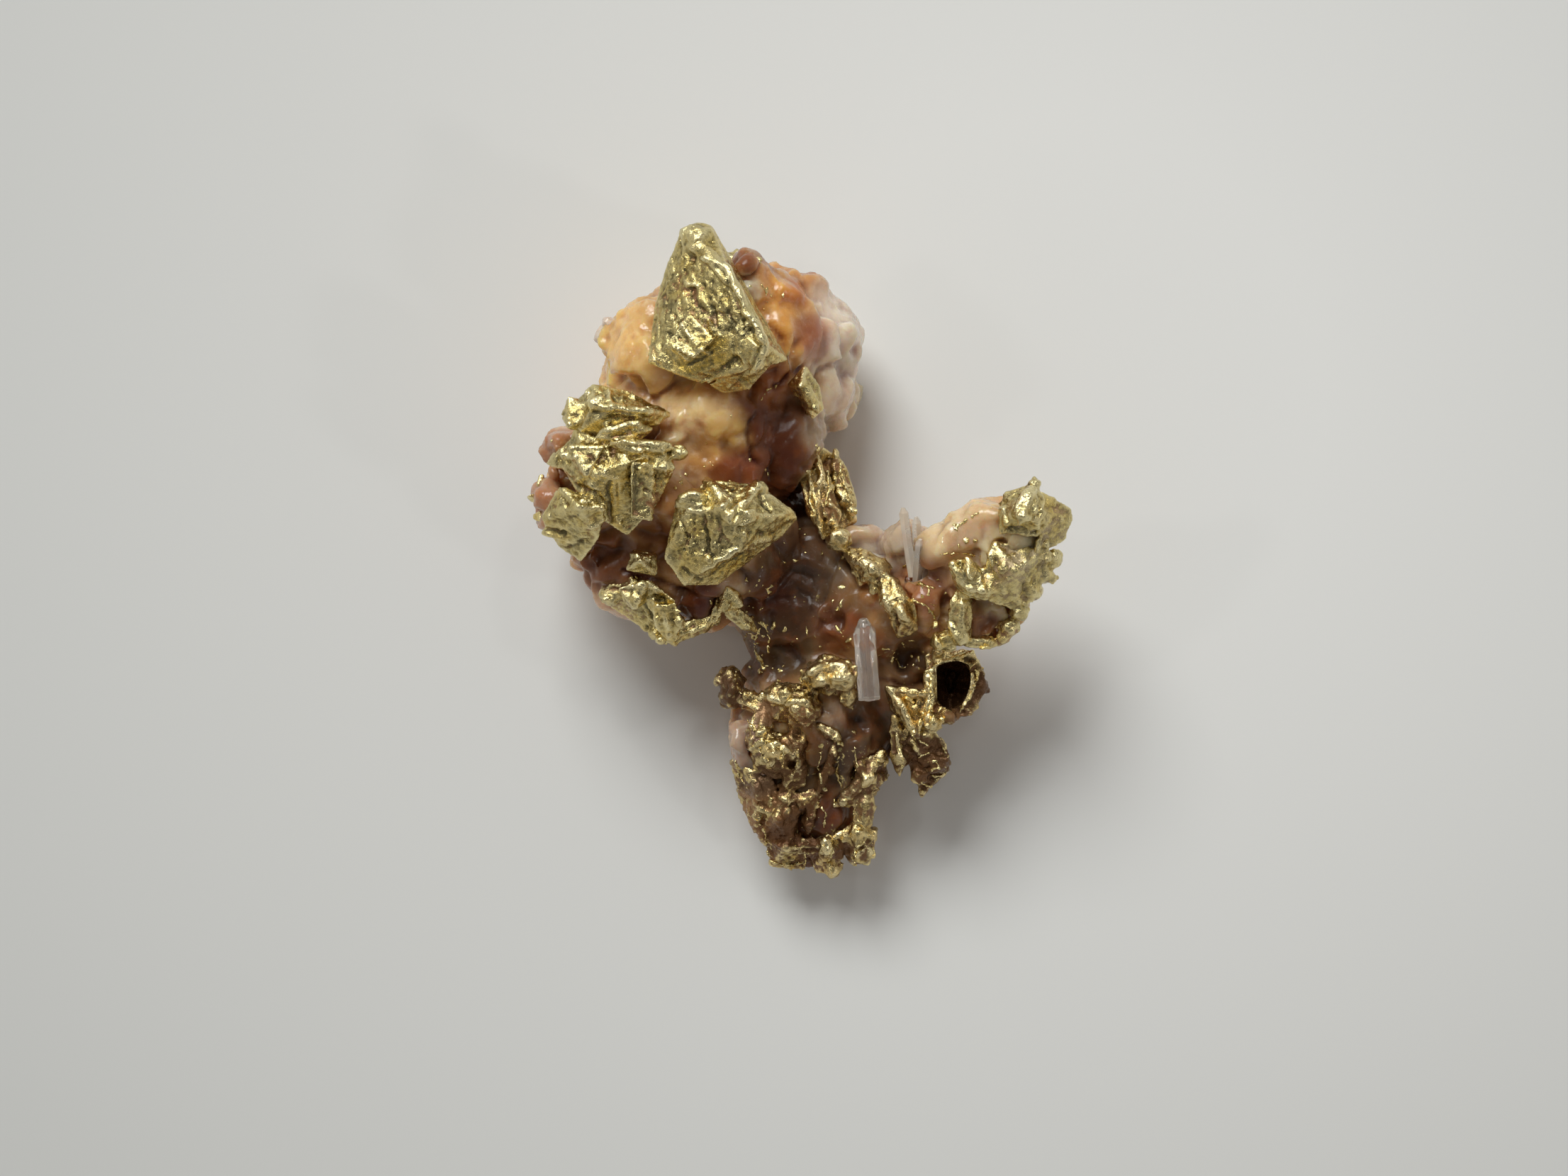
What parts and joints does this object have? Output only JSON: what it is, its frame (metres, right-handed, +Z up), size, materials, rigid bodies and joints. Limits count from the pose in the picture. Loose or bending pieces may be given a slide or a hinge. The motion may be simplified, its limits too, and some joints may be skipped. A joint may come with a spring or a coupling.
{
  "type": "gold nugget",
  "caption": "Small natural nugget of crystallised gold on iron-stained quartz: stepped gold crystals on a head, a raised arm, a hollow spur and a lumpy stem, lying on its worn quartz back.",
  "frame": {"origin": "on the surface that the nugget lies on, under the middle of its outline", "axes": "+Z up, away from the flat quartz back; +Y along its length, from the foot of the stem to the crown of the head; +X across it, towards the raised arm"},
  "size_m": [0.0115, 0.014, 0.0063],
  "materials": {
    "gold": "native gold, pale and slightly silvery, bright on worn rims and rough and olive in the hollows",
    "stained_quartz": "translucent quartz stained orange, peach and rust red by iron, glassy on its broken faces",
    "clear_quartz": "clear quartz with a faint pink cast"
  },
  "bodies": {
    "root": {"quartz_matrix": "stained_quartz", "clear_quartz_prism": "clear_quartz", "clear_quartz_spray": "clear_quartz", "gold_crown_crystal": "gold", "gold_rear_crystals": "gold", "gold_left_cluster": "gold", "gold_middle_crystal": "gold", "gold_lower_rim": "gold", "gold_small_crystal": "gold", "gold_shoulder_plate": "gold", "gold_neck": "gold", "gold_arm": "gold", "gold_spur": "gold", "gold_stem": "gold"}
  },
  "joints": []
}
